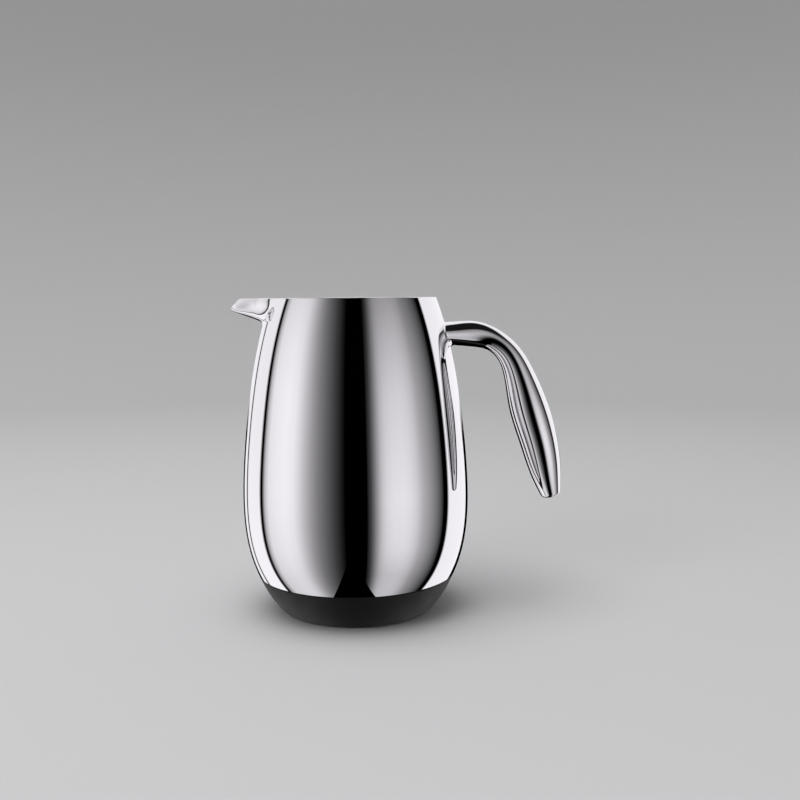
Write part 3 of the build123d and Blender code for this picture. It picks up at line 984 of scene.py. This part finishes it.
def sweep():
    """Pale floor that curves up into a round backdrop. Seen from above only."""
    material, tree, shader = node_material("pale_sweep")
    shader.inputs["Base Color"].default_value = (0.66, 0.66, 0.67, 1)
    shader.inputs["Roughness"].default_value = 0.9
    shader.inputs["Specular IOR Level"].default_value = 0.0
    side = tree.nodes.new("ShaderNodeNewGeometry").outputs["Backfacing"]
    clear = tree.nodes.new("ShaderNodeBsdfTransparent")
    mix = tree.nodes.new("ShaderNodeMixShader")
    link(tree, side, mix.inputs[0])
    link(tree, shader.outputs[0], mix.inputs[1])
    link(tree, clear.outputs[0], mix.inputs[2])
    link(tree, mix.outputs[0], tree.nodes["Material Output"].inputs["Surface"])
    profile = [(r, -0.0002) for r in (0.0, 0.05, 0.12, 0.3, 0.7, 1.2)]
    bend = np.radians(np.arange(8, 91, 8.2))
    profile += [(1.2 + 0.9 * math.sin(a), 0.9 - 0.9 * math.cos(a)) for a in bend]
    profile.append((2.1, 2.8))
    steps = 72
    verts = [(r * math.cos(a), r * math.sin(a), z) for r, z in profile for a in full_turn(steps)]
    faces = []
    for k in range(len(profile) - 1):
        for i in range(steps):
            j = (i + 1) % steps
            faces.append((k * steps + i, (k + 1) * steps + i, (k + 1) * steps + j, k * steps + j))
    thing = stage_mesh("pale_sweep", verts, faces, material)
    thing.visible_glossy = False
    thing.visible_diffuse = False
    thing.visible_shadow = False
    thing.visible_transmission = False


sweep()


def soft_light(name, place, aim, size, watts):
    data = bpy.data.lights.new(name, "AREA")
    data.shape = "DISK"
    data.size = size
    data.energy = watts
    thing = bpy.data.objects.new(name, data)
    bpy.context.scene.collection.objects.link(thing)
    thing.location = place
    direction = np.array(aim, float) - np.array(place, float)
    thing.rotation_euler = Vector(direction).to_track_quat("-Z", "Y").to_euler()
    thing.visible_camera = False
    thing.visible_glossy = False
    return thing


inside_group = bpy.data.collections.new("inside_pieces")
for name in ("liner_satin", "throat_satin"):
    inside_group.objects.link(bpy.data.objects[name])
inside_light = soft_light("into_the_mouth", (0.05, -0.15, 1.2), (0, 0, 0.15), 1.9, 30.0)
inside_light.visible_glossy = True
inside_light.light_linking.receiver_collection = inside_group

soft_light("overhead", (-0.3, -0.3, 2.2), (0, 0, 0), 1.8, 26.0)
soft_light("front_left", (-1.4, -1.5, 1.3), (0, 0, 0.1), 1.2, 9.0)

world = bpy.data.worlds.new("room")
world.use_nodes = True
room = world.node_tree
direction = room.nodes.new("ShaderNodeTexCoord").outputs["Generated"]
height_of = room.nodes.new("ShaderNodeSeparateXYZ")
link(room, direction, height_of.inputs[0])
above = remap(room, height_of.outputs[2], -0.1, 0.1, 0.05, 0.36)
link(room, above, room.nodes["Background"].inputs["Color"])
room.nodes["Background"].inputs["Strength"].default_value = 1.0
bpy.context.scene.world = world
bpy.context.scene.view_settings.view_transform = "Standard"

# ---------------------------------------------------------------- camera
CAMERA_PLACE = (0.02743, -0.5915, 0.1906)  # just above the level of the rim
CAMERA_PITCH = math.radians(-6.07)
CAMERA_ROLL = math.radians(-0.43)
camera_data = bpy.data.cameras.new("camera")
camera_data.sensor_width = 36.0
camera_data.lens = 43.9
camera_data.clip_start = 0.01
camera_data.clip_end = 20.0
camera = bpy.data.objects.new("camera", camera_data)
bpy.context.scene.collection.objects.link(camera)
camera.matrix_world = (
    Matrix.Translation(CAMERA_PLACE)
    @ Matrix.Rotation(math.pi / 2 + CAMERA_PITCH, 4, "X")
    @ Matrix.Rotation(CAMERA_ROLL, 4, "Z")
)
bpy.context.scene.camera = camera
